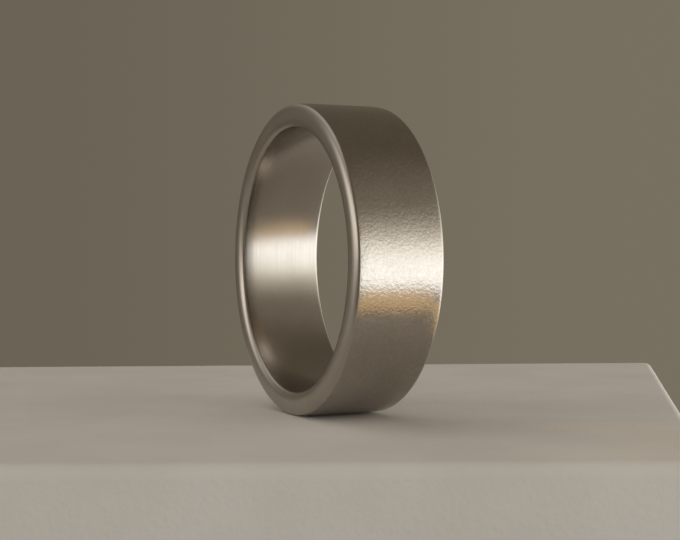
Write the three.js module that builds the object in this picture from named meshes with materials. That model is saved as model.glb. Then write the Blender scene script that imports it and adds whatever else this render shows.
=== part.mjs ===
// Wedding band: one seamless ring of matt grey metal, with a flat outside, a straight bore and softened
// edges. It stands on its rim. Millimetres, +Z up, the ring's axis along Y, the origin at the centre of
// the bore.

import * as THREE from 'three';

// Driving dimensions.
const BORE_DIAMETER = 16.9; // a finger of US ring size 6 1/2
const WALL = 1.55; // thickness of the metal, from the bore to the outside
const WIDTH = 6; // from one side face to the other, along the axis

// The edges are softened by long roundings, quarter ellipses that reach further down the side face than
// along the axis, so that only a narrow flat is left in the middle of each side face.
const OUTER_EDGE = { radial: 0.6, axial: 0.28, steps: 6 };
const INNER_EDGE = { radial: 0.6, axial: 0.24, steps: 5 };

// The circle is drawn with flats, and one of them lies at the very bottom, where the ring rests.
const FLATS = 60;

const BORE_RADIUS = BORE_DIAMETER / 2;
const OUTER_RADIUS = BORE_RADIUS + WALL;

// The four corners of the section, in order round it from the outside of the +Y edge.
const CORNERS = [
  { radius: OUTER_RADIUS - OUTER_EDGE.radial, height: WIDTH / 2 - OUTER_EDGE.axial, edge: OUTER_EDGE },
  { radius: BORE_RADIUS + INNER_EDGE.radial, height: WIDTH / 2 - INNER_EDGE.axial, edge: INNER_EDGE },
  { radius: BORE_RADIUS + INNER_EDGE.radial, height: INNER_EDGE.axial - WIDTH / 2, edge: INNER_EDGE },
  { radius: OUTER_RADIUS - OUTER_EDGE.radial, height: OUTER_EDGE.axial - WIDTH / 2, edge: OUTER_EDGE },
];

/** The band's section as a closed outline, x outwards from the axis and y along it. */
function section() {
  const quarter = Math.PI / 2;
  const outline = CORNERS.flatMap(({ radius, height, edge }, corner) => {
    const start = corner * quarter;
    const rounding = new THREE.EllipseCurve(
      radius, height, edge.radial, edge.axial, start, start + quarter,
    );
    return rounding.getPoints(edge.steps);
  });
  return [...outline, outline[0].clone()];
}

/** The ring: the section turned round Y, with the middles of its flats at the true radius. */
function ring() {
  const halfFlat = Math.PI / FLATS;
  const outline = section().map((point) => new THREE.Vector2(point.x / Math.cos(halfFlat), point.y));
  return new THREE.LatheGeometry(outline, FLATS, halfFlat);
}

const metal = new THREE.MeshStandardMaterial({ color: 0x9c9488, roughness: 0.45, metalness: 1 });

const band = new THREE.Mesh(ring(), metal);
band.name = 'band';

const group = new THREE.Group();
group.add(band);

export default group;
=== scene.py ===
"""The looks of the wedding band: a fine round ring in place of the faceted CAD one, with a sandblasted
outside, satin side faces and a satin bore, on a pale block in soft light.

Metres, in the CAD part's frame: the ring's axis is Y, Z is up, and the origin is the centre of the bore.
Azimuths are in degrees, with 0 at -Y and 90 at +X, and elevations are in degrees above level.
"""

import math

import bmesh
import bpy
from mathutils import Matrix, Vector
from mathutils.geometry import interpolate_bezier


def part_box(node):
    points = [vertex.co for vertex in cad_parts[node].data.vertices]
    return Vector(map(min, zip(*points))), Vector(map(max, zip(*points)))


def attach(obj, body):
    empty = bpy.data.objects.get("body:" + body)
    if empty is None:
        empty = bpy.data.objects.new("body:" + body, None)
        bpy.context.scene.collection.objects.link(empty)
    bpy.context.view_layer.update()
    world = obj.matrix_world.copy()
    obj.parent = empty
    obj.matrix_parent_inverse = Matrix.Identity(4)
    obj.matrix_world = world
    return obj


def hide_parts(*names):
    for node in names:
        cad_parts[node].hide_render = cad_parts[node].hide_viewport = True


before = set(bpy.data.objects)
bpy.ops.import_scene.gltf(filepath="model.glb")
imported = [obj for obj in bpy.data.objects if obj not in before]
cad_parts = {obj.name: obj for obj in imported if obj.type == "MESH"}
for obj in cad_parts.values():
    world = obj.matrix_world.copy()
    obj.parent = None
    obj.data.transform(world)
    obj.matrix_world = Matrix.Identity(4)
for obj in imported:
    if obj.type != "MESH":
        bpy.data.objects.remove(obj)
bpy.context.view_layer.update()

MM = 0.001
UP = Vector((0, 0, 1))
low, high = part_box("band")
RADIUS = (high.z - low.z) / 2
WIDTH = high.y - low.y
FLOOR = low.z


def direction(azimuth, elevation):
    """The way from the ring to something at that azimuth and elevation."""
    a, e = math.radians(azimuth), math.radians(elevation)
    return Vector((math.sin(a) * math.cos(e), -math.cos(a) * math.cos(e), math.sin(e)))


def add_object(name, data):
    """Puts a new object into the scene."""
    piece = bpy.data.objects.new(name, data)
    bpy.context.scene.collection.objects.link(piece)
    return piece


def object_from(mesh, name, *materials):
    """Makes a bmesh into an object of the scene, with those materials in its slots."""
    data = bpy.data.meshes.new(name)
    mesh.to_mesh(data)
    mesh.free()
    for material in materials:
        data.materials.append(material)
    return add_object(name, data)


# ---------------------------------------------------------------- camera

CAMERA_AZIMUTH, CAMERA_ELEVATION = 65.2, 0.6
CAMERA_DISTANCE = 9.25 * RADIUS
CAMERA_LENS = 75.3
CAMERA_NEAREST, CAMERA_FARTHEST = 1 * MM, 2000 * MM
RING_LEFT_OF_CENTRE, RING_ABOVE_CENTRE = 0.06, 0.068  # in outer radii, as the picture frames it

CAMERA_PLACE = direction(CAMERA_AZIMUTH, CAMERA_ELEVATION) * CAMERA_DISTANCE

# The level ways towards the camera and to its right.
TOWARD_CAMERA = direction(CAMERA_AZIMUTH, 0)
CAMERA_RIGHT = UP.cross(TOWARD_CAMERA)


def make_camera():
    """The camera, a little above the height of the ring's centre."""
    data = bpy.data.cameras.new("camera")
    data.lens = CAMERA_LENS
    data.clip_start, data.clip_end = CAMERA_NEAREST, CAMERA_FARTHEST
    camera = add_object("camera", data)
    camera.location = CAMERA_PLACE
    camera_up = CAMERA_PLACE.normalized().cross(CAMERA_RIGHT)
    aim = (CAMERA_RIGHT * RING_LEFT_OF_CENTRE - camera_up * RING_ABOVE_CENTRE) * RADIUS
    camera.rotation_mode = "QUATERNION"
    camera.rotation_quaternion = (aim - camera.location).to_track_quat("-Z", "Y")
    bpy.context.scene.camera = camera


# ---------------------------------------------------------------- the ring's mesh

WALL = 1.55 * MM
BORE_RADIUS = RADIUS - WALL
STEPS_ROUND = 512

# The outside and the bore are straight in the middle, and fall away very slightly towards each side face.
STRAIGHT_STEPS = 4
CROWN_LENGTH, CROWN_DROP, CROWN_STEPS = 1.0 * MM, 0.04 * MM, 8
CROWN_SLOPE = 2 * CROWN_DROP / CROWN_LENGTH

# From there each edge is one Bezier curve over to the side face. It starts "along" from the side face and
# ends "down" it, and the two pulls say how long it keeps to each surface before it turns. The edges nearly
# meet, so that the side face is a soft dome.
EDGE = {
    "along": 0.31 * MM,
    "down": 0.73 * MM,
    "pull_along": 0.18 * MM,
    "pull_down": 0.41 * MM,
    "steps": 20,
}

# The order of the ring's material slots.
BLASTED, SATIN_EDGE, SATIN_BORE = 0, 1, 2


def curve_after_start(start, start_pull, end_pull, end, steps):
    """The points of a Bezier curve, without its first."""
    points = interpolate_bezier(start, start_pull, end_pull, end, steps + 1)
    return [Vector(point[:2]) for point in points[1:]]


def edge_half(surface, outwards):
    """The section from the middle of the outside or of the bore to the flat on the side face.

    The surface is that radius, and outwards is 1 on the outside and -1 in the bore. Gives the points along
    the surface, and those of the edge.
    """
    side = WIDTH / 2
    edge_start = side - EDGE["along"]
    middle = Vector((surface, 0))
    crown_start = Vector((surface, edge_start - CROWN_LENGTH))
    crown_corner = Vector((surface, edge_start - CROWN_LENGTH / 2))
    crown_end = Vector((surface - outwards * CROWN_DROP, edge_start))
    straight = [middle.lerp(crown_start, i / STRAIGHT_STEPS) for i in range(STRAIGHT_STEPS + 1)]
    # With both pulls two thirds of the way to one corner, the crown is a parabola.
    crown = curve_after_start(
        crown_start,
        crown_start.lerp(crown_corner, 2 / 3),
        crown_end.lerp(crown_corner, 2 / 3),
        crown_end,
        CROWN_STEPS,
    )
    flat = surface - outwards * EDGE["down"]
    edge = curve_after_start(
        crown_end,
        crown_end + Vector((-outwards * CROWN_SLOPE, 1)) * EDGE["pull_along"],
        Vector((flat + outwards * EDGE["pull_down"], side)),
        Vector((flat, side)),
        EDGE["steps"],
    )
    return straight + crown, edge


def half_section():
    """The section at +Y, from the middle of the outside over the side face to the middle of the bore.

    Gives its points as (radius, along the axis), and the finish of each stretch between two points.
    """
    outside, outer_edge = edge_half(RADIUS, 1)
    bore, inner_edge = edge_half(BORE_RADIUS, -1)
    points = outside + outer_edge + inner_edge[::-1] + bore[::-1]
    stretches_on_side = len(outer_edge) + 1 + len(inner_edge)  # the one between them is the flat
    finishes = [BLASTED] * (len(outside) - 1)
    finishes += [SATIN_EDGE] * stretches_on_side
    finishes += [SATIN_BORE] * (len(bore) - 1)
    return points, finishes


def make_ring():
    """The section turned round Y, as one closed mesh."""
    half, half_finishes = half_section()
    mirrored = [Vector((point.x, -point.y)) for point in reversed(half[1:-1])]
    section = half + mirrored
    finishes = half_finishes + half_finishes[::-1]

    mesh = bmesh.new()
    rings = []
    for step in range(STEPS_ROUND):
        angle = 2 * math.pi * step / STEPS_ROUND
        c, s = math.cos(angle), math.sin(angle)
        rings.append([mesh.verts.new((point.x * c, point.y, point.x * s)) for point in section])
    for step, ring_of_points in enumerate(rings):
        following = rings[(step + 1) % STEPS_ROUND]
        for row, finish in enumerate(finishes):
            after = (row + 1) % len(section)
            corners = (ring_of_points[row], ring_of_points[after], following[after], following[row])
            face = mesh.faces.new(corners)
            face.material_index = finish
            face.smooth = True
    bmesh.ops.recalc_face_normals(mesh, faces=mesh.faces)
    return object_from(mesh, "wedding_band", sandblasted(), satin_edge(), satin_bore())


# ---------------------------------------------------------------- node helpers

# Nearly all of a noise lies between these two values.
NOISE_LOW, NOISE_HIGH = 0.3, 0.7


class Nodes:
    """Adds nodes to a tree. A value given for an input is a number or vector, or another node's output."""

    def __init__(self, tree):
        self.tree = tree
        tree.nodes.clear()

    def add(self, kind, inputs, output=0, **settings):
        node = self.tree.nodes.new(kind)
        for name, value in settings.items():
            setattr(node, name, value)
        for key, value in inputs.items():
            if isinstance(value, bpy.types.NodeSocket):
                self.tree.links.new(value, node.inputs[key])
            else:
                node.inputs[key].default_value = value
        return node if output is None else node.outputs[output]

    def math(self, operation, *values):
        return self.add("ShaderNodeMath", dict(enumerate(values)), operation=operation)

    def vector_math(self, operation, *values):
        return self.add("ShaderNodeVectorMath", dict(enumerate(values)), operation=operation)

    def scaled(self, vector, factor):
        inputs = {0: vector, "Scale": factor}
        return self.add("ShaderNodeVectorMath", inputs, operation="SCALE")

    def separate(self, vector):
        """The vector's x, y and z."""
        return self.add("ShaderNodeSeparateXYZ", {0: vector}, output=None).outputs

    def mix(self, factor, first, second):
        """Goes from the first colour, where the factor is 0, to the second, where it is 1."""
        return self.add("ShaderNodeMix", {0: factor, 6: first, 7: second}, output=2, data_type="RGBA")

    def ramp(self, value, start, end, low=0.0, high=1.0):
        """Goes smoothly from low, where the value is at start, to high, where it is at end."""
        inputs = {"Value": value, "From Min": start, "From Max": end, "To Min": low, "To Max": high}
        return self.add("ShaderNodeMapRange", inputs, interpolation_type="SMOOTHSTEP")

    def noise(self, vector, scale, detail=2.0, roughness=0.5, **extra):
        inputs = {"Vector": vector, "Scale": scale, "Detail": detail, "Roughness": roughness, **extra}
        dimensions = "4D" if "W" in extra else "3D"
        return self.add("ShaderNodeTexNoise", inputs, noise_dimensions=dimensions)

    def spread(self, noise, low=0.0, high=1.0):
        """Spreads a noise over the values from low to high."""
        return self.ramp(noise, NOISE_LOW, NOISE_HIGH, low, high)

    def bump(self, height, strength=1.0, distance=MM):
        """The surface raised by the height, in millimetres unless the distance says otherwise."""
        return self.add("ShaderNodeBump", {"Height": height, "Strength": strength, "Distance": distance})

    def millimetres(self):
        """The point on the piece, in millimetres."""
        point = self.add("ShaderNodeTexCoord", {}, output="Object")
        return self.scaled(point, 1 / MM)


def new_material(name):
    """A material, and the helper for its nodes."""
    material = bpy.data.materials.new(name)
    material.use_nodes = True
    return material, Nodes(material.node_tree)


# ---------------------------------------------------------------- the metal

# How often something repeats is given per millimetre, and heights and depths are in millimetres.
METAL_DARK, METAL_LIGHT = (0.425, 0.386, 0.345, 1), (0.455, 0.414, 0.370, 1)
TONE_PATCHES = 0.45

BLASTED_GRAIN, BLASTED_GRAIN_HEIGHT = 5.4, 0.012
BLASTED_UNEVENNESS, BLASTED_UNEVENNESS_HEIGHT = 1.6, 0.0015
# The grain's pits are painted darker, as shade, and its peaks lighter, as light.
PIT_PAINTED_SHADE, PEAK_PAINTED_LIGHT = 0.94, 1.04
BLASTED_SHEEN_PATCHES = 2.6
BLASTED_ROUGHNESS = 0.19, 0.25

MARKS_ACROSS, MARKS_ROUND = 9.0, 0.06
MARK_DEPTH = 0.0012
EDGE_ROUGHNESS = 0.30, 0.36
BORE_ROUGHNESS = 0.20, 0.26


def metal_tone(nodes, point):
    """Warm grey metal, a little darker and lighter in patches a few millimetres across."""
    patches = nodes.noise(point, TONE_PATCHES, detail=3.0)
    return nodes.mix(nodes.spread(patches), METAL_DARK, METAL_LIGHT)


def finish_metal(nodes, colour, roughness, normal):
    """Ends a metal's nodes with its shader."""
    shader = nodes.add(
        "ShaderNodeBsdfPrincipled",
        {"Base Color": colour, "Metallic": 1.0, "Roughness": roughness, "Normal": normal},
    )
    nodes.add("ShaderNodeOutputMaterial", {"Surface": shader}, output=None)


def polar(nodes, point):
    """The distance from the ring's axis, and the place along the axis, in millimetres."""
    x, y, z = nodes.separate(point)
    squares = nodes.math("ADD", nodes.math("MULTIPLY", x, x), nodes.math("MULTIPLY", z, z))
    return nodes.math("SQRT", squares), y


def sandblasted():
    """The outside: a fine even grain with painted shade in its pits, over a faint coarser unevenness."""
    material, nodes = new_material("sandblasted")
    point = nodes.millimetres()
    grain = nodes.noise(point, BLASTED_GRAIN, detail=1.5, roughness=0.6)
    unevenness = nodes.noise(point, BLASTED_UNEVENNESS, detail=1.0)
    fine = nodes.math("MULTIPLY", grain, BLASTED_GRAIN_HEIGHT)
    coarse = nodes.math("MULTIPLY", unevenness, BLASTED_UNEVENNESS_HEIGHT)
    normal = nodes.bump(nodes.math("ADD", fine, coarse))
    # Painted shade in the grain's pits and painted light on its peaks, over the metal's own colour.
    grain_shaded_colour = nodes.scaled(metal_tone(nodes, point), nodes.spread(grain, PIT_PAINTED_SHADE, PEAK_PAINTED_LIGHT))
    roughness = nodes.spread(nodes.noise(point, BLASTED_SHEEN_PATCHES), *BLASTED_ROUGHNESS)
    finish_metal(nodes, grain_shaded_colour, roughness, normal)
    return material


def satin(name, roughness_range):
    """Fine marks that run round the ring: close together across it, and long round it."""
    material, nodes = new_material(name)
    point = nodes.millimetres()
    radius, along = polar(nodes, point)
    round_ring = nodes.vector_math("MULTIPLY", point, (MARKS_ROUND, 0, MARKS_ROUND))
    across = nodes.add("ShaderNodeCombineXYZ", {"Y": nodes.math("MULTIPLY", along, MARKS_ACROSS)})
    vector = nodes.vector_math("ADD", round_ring, across)
    outwards = nodes.math("MULTIPLY", radius, MARKS_ACROSS)
    marks = nodes.noise(vector, 1.0, detail=3.0, roughness=0.6, W=outwards)
    normal = nodes.bump(nodes.math("MULTIPLY", marks, MARK_DEPTH))
    roughness = nodes.spread(marks, *roughness_range)
    finish_metal(nodes, metal_tone(nodes, point), roughness, normal)
    return material


def satin_edge():
    """The side faces and their rounded edges."""
    return satin("satin_edge", EDGE_ROUGHNESS)


def satin_bore():
    """The bore, which is a little smoother."""
    return satin("satin_bore", BORE_ROUGHNESS)


# ---------------------------------------------------------------- the block

# The corners of the block that the ring stands on, as (towards the camera, to the camera's right), in
# outer radii.
BLOCK_CORNERS = [(-4.0, 3.0), (2.1, 1.95), (2.3, -6.0), (-3.3, -6.5)]
BLOCK_HEIGHT = 3 * RADIUS
BLOCK_ROUNDING, BLOCK_ROUNDING_STEPS = 0.08 * RADIUS, 6

PLASTER_DARK, PLASTER_LIGHT = (0.85, 0.82, 0.785, 1), (0.90, 0.875, 0.845, 1)
PLASTER_PATCHES, PLASTER_GRAIN = 0.12, 2.5  # per millimetre
PLASTER_GRAIN_DEPTH, PLASTER_GRAIN_STRENGTH = 0.06 * MM, 0.5


def plaster():
    """Plain pale plaster, with a faint unevenness."""
    material, nodes = new_material("plaster")
    point = nodes.millimetres()
    patches = nodes.noise(point, PLASTER_PATCHES, detail=4.0)
    colour = nodes.mix(nodes.spread(patches), PLASTER_DARK, PLASTER_LIGHT)
    grain = nodes.noise(point, PLASTER_GRAIN, detail=3.0)
    normal = nodes.bump(grain, PLASTER_GRAIN_STRENGTH, PLASTER_GRAIN_DEPTH)
    shader = nodes.add(
        "ShaderNodeBsdfPrincipled",
        {"Base Color": colour, "Roughness": 0.9, "Specular IOR Level": 0.2, "Normal": normal},
    )
    nodes.add("ShaderNodeOutputMaterial", {"Surface": shader}, output=None)
    return material


def on_floor(toward, right):
    """The place on the floor that far toward the camera and to its right, in outer radii."""
    return (TOWARD_CAMERA * toward + CAMERA_RIGHT * right) * RADIUS + UP * FLOOR


def make_floor():
    """A pale block with softened edges."""
    mesh = bmesh.new()
    top = mesh.faces.new([mesh.verts.new(on_floor(*corner)) for corner in BLOCK_CORNERS])
    sides = bmesh.ops.extrude_face_region(mesh, geom=[top])
    lower = [part for part in sides["geom"] if isinstance(part, bmesh.types.BMVert)]
    bmesh.ops.translate(mesh, verts=lower, vec=-UP * BLOCK_HEIGHT)
    bmesh.ops.bevel(
        mesh,
        geom=mesh.edges[:],
        offset=BLOCK_ROUNDING,
        segments=BLOCK_ROUNDING_STEPS,
        affect="EDGES",
        profile=0.5,
    )
    bmesh.ops.recalc_face_normals(mesh, faces=mesh.faces)
    for face in mesh.faces:
        face.smooth = True
    object_from(mesh, "floor", plaster())


# ---------------------------------------------------------------- the painted reflections

# Two warm glowing patches lie on the block beside the ring as painted reflections: they light nothing and
# only show in its reflections, one as a level strip across the outside, and the other across the bore.
# Each patch's corners are the places on the block that the camera sees mirrored at two angles round the
# ring, in degrees up from +X, and at two places along it, in widths from its middle.
PAINTED_REFLECTION_STRIPS = [
    {"radius": RADIUS, "angles": (-16.5, -9.3), "places": (-1.0, 0.6)},
    {"radius": BORE_RADIUS, "angles": (163, 169), "places": (-0.25, 0.6)},
]
# The glow of the painted reflections, and how far above the block they lie.
PAINTED_REFLECTION_COLOUR, PAINTED_REFLECTION_LIFT = (1.02, 0.72, 0.37, 1), 0.02 * MM


def painted_reflection_glow():
    """The patches glow evenly: a painted reflection of warm light on the block."""
    material, nodes = new_material("warm_painted_reflection")
    glow = nodes.add("ShaderNodeEmission", {"Color": PAINTED_REFLECTION_COLOUR, "Strength": 1.0})
    nodes.add("ShaderNodeOutputMaterial", {"Surface": glow}, output=None)
    return material


def mirrored_on_floor(radius, angle, along):
    """The place that the camera sees mirrored in the ring, at that angle round it and that far along it.

    It lies just above the floor.
    """
    turn = math.radians(angle)
    normal = Vector((math.cos(turn), 0, math.sin(turn)))
    point = normal * radius + Vector((0, along, 0))
    ray = (point - CAMERA_PLACE).reflect(normal)
    return point + ray * (FLOOR + PAINTED_REFLECTION_LIFT - point.z) / ray.z


def make_painted_reflections():
    """The warm painted reflections: glowing patches which neither show by themselves nor light the block.
    """
    mesh = bmesh.new()
    for strip in PAINTED_REFLECTION_STRIPS:
        low_angle, high_angle = strip["angles"]
        first, last = strip["places"]
        corners = [(low_angle, first), (low_angle, last), (high_angle, last), (high_angle, first)]
        places = [mirrored_on_floor(strip["radius"], angle, place * WIDTH) for angle, place in corners]
        mesh.faces.new([mesh.verts.new(place) for place in places])
    # Glowing patches, seen only in reflections, that paint a warm reflection on the ring.
    painted_reflection_patches = object_from(mesh, "painted_reflection_patches", painted_reflection_glow())
    painted_reflection_patches.visible_camera = painted_reflection_patches.visible_diffuse = painted_reflection_patches.visible_shadow = False


# ---------------------------------------------------------------- light

# The light that comes from everywhere, and the backdrop that the camera sees, at its left and its right.
AMBIENT = (0.150, 0.128, 0.093)
BACKDROP_LEFT, BACKDROP_RIGHT = (0.148, 0.125, 0.091, 1), (0.186, 0.164, 0.119, 1)
BACKDROP_HALF_WIDTH = 0.22  # as the sine of the angle from the middle of the picture

# Each light is a soft patch far away: where its middle is, how wide and how soft, and how bright.
LIGHTS = [
    # The main light, to the right and behind the ring, which the outside and the bore mirror.
    {
        "azimuth": 136, "half_width": 34, "soft_sides": 8,
        "bottom": -19, "soft_bottom": 5, "top": 5, "soft_top": 14,
        "colour": (1.0, 1.05, 1.07), "strength": 2.32,
    },
    # Its warmer upper part, and a faint glow over that.
    {
        "azimuth": 136, "half_width": 34, "soft_sides": 8,
        "bottom": 3, "soft_bottom": 13, "top": 19, "soft_top": 17,
        "colour": (1.0, 0.965, 0.85), "strength": 1.25,
    },
    {
        "azimuth": 130, "half_width": 36, "soft_sides": 14,
        "bottom": 24, "soft_bottom": 14, "top": 54, "soft_top": 18,
        "colour": (1.0, 0.90, 0.78), "strength": 0.15,
    },
    # On the side that the back face looks at, for the bright line along the far rim.
    {
        "azimuth": 182, "half_width": 34, "soft_sides": 12,
        "bottom": -20, "soft_bottom": 3, "top": 12, "soft_top": 12,
        "colour": (1.0, 0.98, 0.93), "strength": 1.7,
    },
    # On the side that the front face looks at, for the bright line along its edges.
    {
        "azimuth": -6, "half_width": 34, "soft_sides": 14,
        "bottom": 2, "soft_bottom": 10, "top": 20, "soft_top": 14,
        "colour": (1.0, 0.96, 0.91), "strength": 2.3,
    },
    # High up, for the block.
    {
        "azimuth": -40, "half_width": 60, "soft_sides": 15,
        "bottom": 35, "soft_bottom": 20, "top": 85, "soft_top": 4,
        "colour": (1.0, 0.97, 0.92), "strength": 0.55,
    },
]


def light_patch(nodes, azimuth, elevation, patch):
    """The strength of one light in the direction that the azimuth and elevation give, in degrees."""
    turn = nodes.math("WRAP", nodes.math("SUBTRACT", azimuth, patch["azimuth"]), 180.0, -180.0)
    width, side = patch["half_width"], patch["soft_sides"]
    bottom, soft_bottom = patch["bottom"], patch["soft_bottom"]
    top, soft_top = patch["top"], patch["soft_top"]
    across = nodes.ramp(nodes.math("ABSOLUTE", turn), width - side, width + side, 1.0, 0.0)
    above_bottom = nodes.ramp(elevation, bottom - soft_bottom, bottom + soft_bottom)
    below_top = nodes.ramp(elevation, top - soft_top, top + soft_top, 1.0, 0.0)
    upright = nodes.math("MULTIPLY", above_bottom, below_top)
    return nodes.math("MULTIPLY", nodes.math("MULTIPLY", across, upright), patch["strength"])


def make_light():
    """Surrounds the scene with a plain backdrop, and with soft lights that the camera doesn't see."""
    world = bpy.data.worlds.new("studio")
    world.use_nodes = True
    bpy.context.scene.world = world
    nodes = Nodes(world.node_tree)
    way = nodes.add("ShaderNodeTexCoord", {}, output="Generated")
    x, y, z = nodes.separate(way)
    azimuth = nodes.math("DEGREES", nodes.math("ARCTAN2", x, nodes.math("MULTIPLY", y, -1.0)))
    elevation = nodes.math("DEGREES", nodes.math("ARCSINE", z))
    light = AMBIENT
    for patch in LIGHTS:
        strength = light_patch(nodes, azimuth, elevation, patch)
        light = nodes.vector_math("ADD", light, nodes.scaled(patch["colour"], strength))

    inputs = {0: way, 1: CAMERA_RIGHT}
    to_right = nodes.add("ShaderNodeVectorMath", inputs, output="Value", operation="DOT_PRODUCT")
    shade = nodes.ramp(to_right, -BACKDROP_HALF_WIDTH, BACKDROP_HALF_WIDTH)
    backdrop = nodes.mix(shade, BACKDROP_LEFT, BACKDROP_RIGHT)
    seen = nodes.add("ShaderNodeLightPath", {}, output="Is Camera Ray")
    colour = nodes.mix(seen, light, backdrop)
    shader = nodes.add("ShaderNodeBackground", {"Color": colour, "Strength": 1.0})
    nodes.add("ShaderNodeOutputWorld", {"Surface": shader}, output=None)
    bpy.context.scene.view_settings.view_transform = "Standard"


# ---------------------------------------------------------------- the scene

make_camera()
ring = make_ring()
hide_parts("band")
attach(ring, "root")
make_floor()
make_painted_reflections()
make_light()
